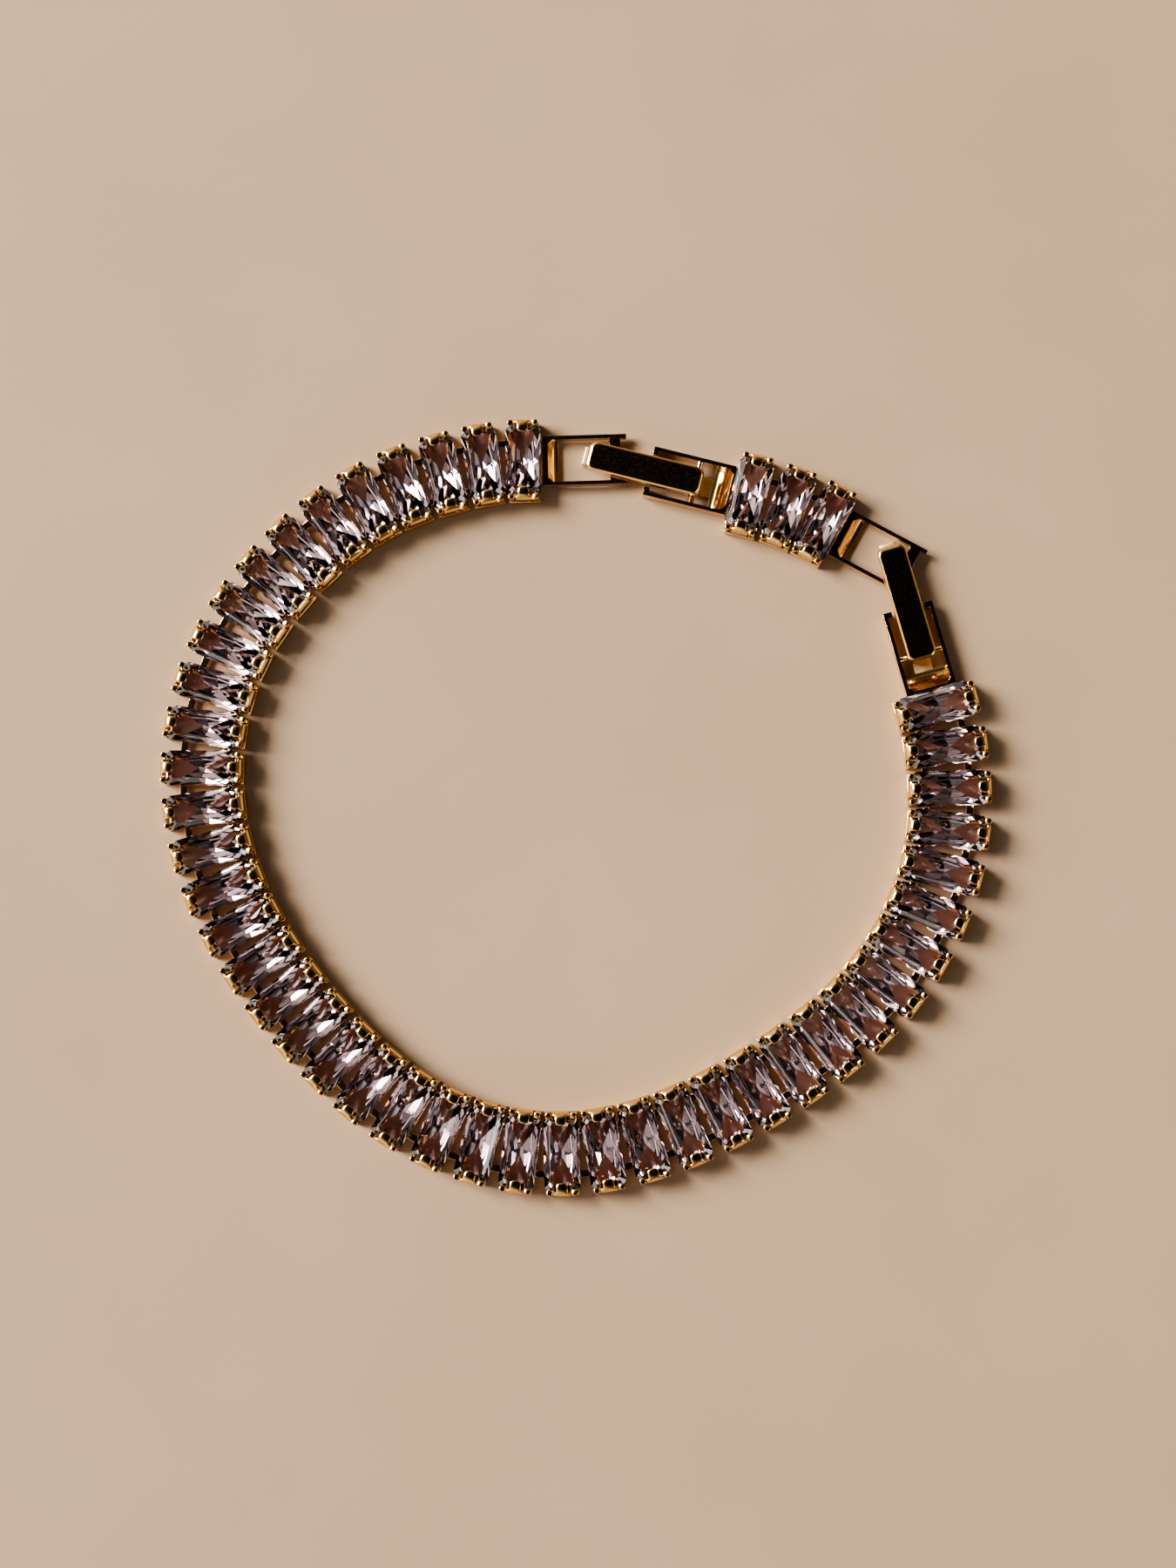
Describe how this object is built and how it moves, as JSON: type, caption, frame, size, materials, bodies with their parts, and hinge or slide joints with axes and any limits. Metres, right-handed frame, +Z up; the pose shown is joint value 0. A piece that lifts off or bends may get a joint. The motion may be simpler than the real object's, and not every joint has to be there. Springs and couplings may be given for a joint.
{
  "type": "tennis bracelet",
  "caption": "Flexible bracelet of rectangular cut stones in claw settings joined by ring links, a closed loop with a short extension between two fold-over clasps.",
  "frame": {"origin": "the middle of the loop's bounding box, on the surface that it lies on", "axes": "+Z up, +X to the right and +Y away as seen from the picture's side, with the clasps at +X +Y"},
  "size_m": [0.0678, 0.0634, 0.0025],
  "materials": {
    "pink_stone": "polished, faceted, pale pink and clear",
    "gold_metal": "polished yellow gold plate"
  },
  "bodies": {
    "root": {"stone_01": "pink_stone", "stone_02": "pink_stone", "stone_03": "pink_stone", "stone_04": "pink_stone", "stone_05": "pink_stone", "stone_06": "pink_stone", "stone_07": "pink_stone", "stone_08": "pink_stone", "stone_09": "pink_stone", "stone_10": "pink_stone", "stone_11": "pink_stone", "stone_12": "pink_stone", "stone_13": "pink_stone", "stone_14": "pink_stone", "stone_15": "pink_stone", "stone_16": "pink_stone", "stone_17": "pink_stone", "stone_18": "pink_stone", "stone_19": "pink_stone", "stone_20": "pink_stone", "stone_21": "pink_stone", "stone_22": "pink_stone", "stone_23": "pink_stone", "stone_24": "pink_stone", "stone_25": "pink_stone", "stone_26": "pink_stone", "stone_27": "pink_stone", "stone_28": "pink_stone", "stone_29": "pink_stone", "stone_30": "pink_stone", "stone_31": "pink_stone", "stone_32": "pink_stone", "stone_33": "pink_stone", "stone_34": "pink_stone", "stone_35": "pink_stone", "stone_36": "pink_stone", "stone_37": "pink_stone", "stone_38": "pink_stone", "stone_39": "pink_stone", "stone_40": "pink_stone", "stone_41": "pink_stone", "stone_42": "pink_stone", "stone_43": "pink_stone", "extension_stone_1": "pink_stone", "extension_stone_2": "pink_stone", "extension_stone_3": "pink_stone", "chain_metal_a": "gold_metal", "chain_metal_b": "gold_metal", "extension_metal": "gold_metal"},
    "lever_1": {"clasp_lever_1": "gold_metal"},
    "lever_2": {"clasp_lever_2": "gold_metal"}
  },
  "joints": [
    {"name": "lever_1_hinge", "type": "hinge", "parent": "root", "child": "lever_1", "pos_m": [0.00998, 0.02644, 0.00115], "axis": [0.2499, 0.9683, 0], "range_deg": [0, 100]},
    {"name": "lever_2_hinge", "type": "hinge", "parent": "root", "child": "lever_2", "pos_m": [0.02829, 0.01216, 0.00115], "axis": [0.9623, 0.2721, 0], "range_deg": [0, 100]}
  ]
}
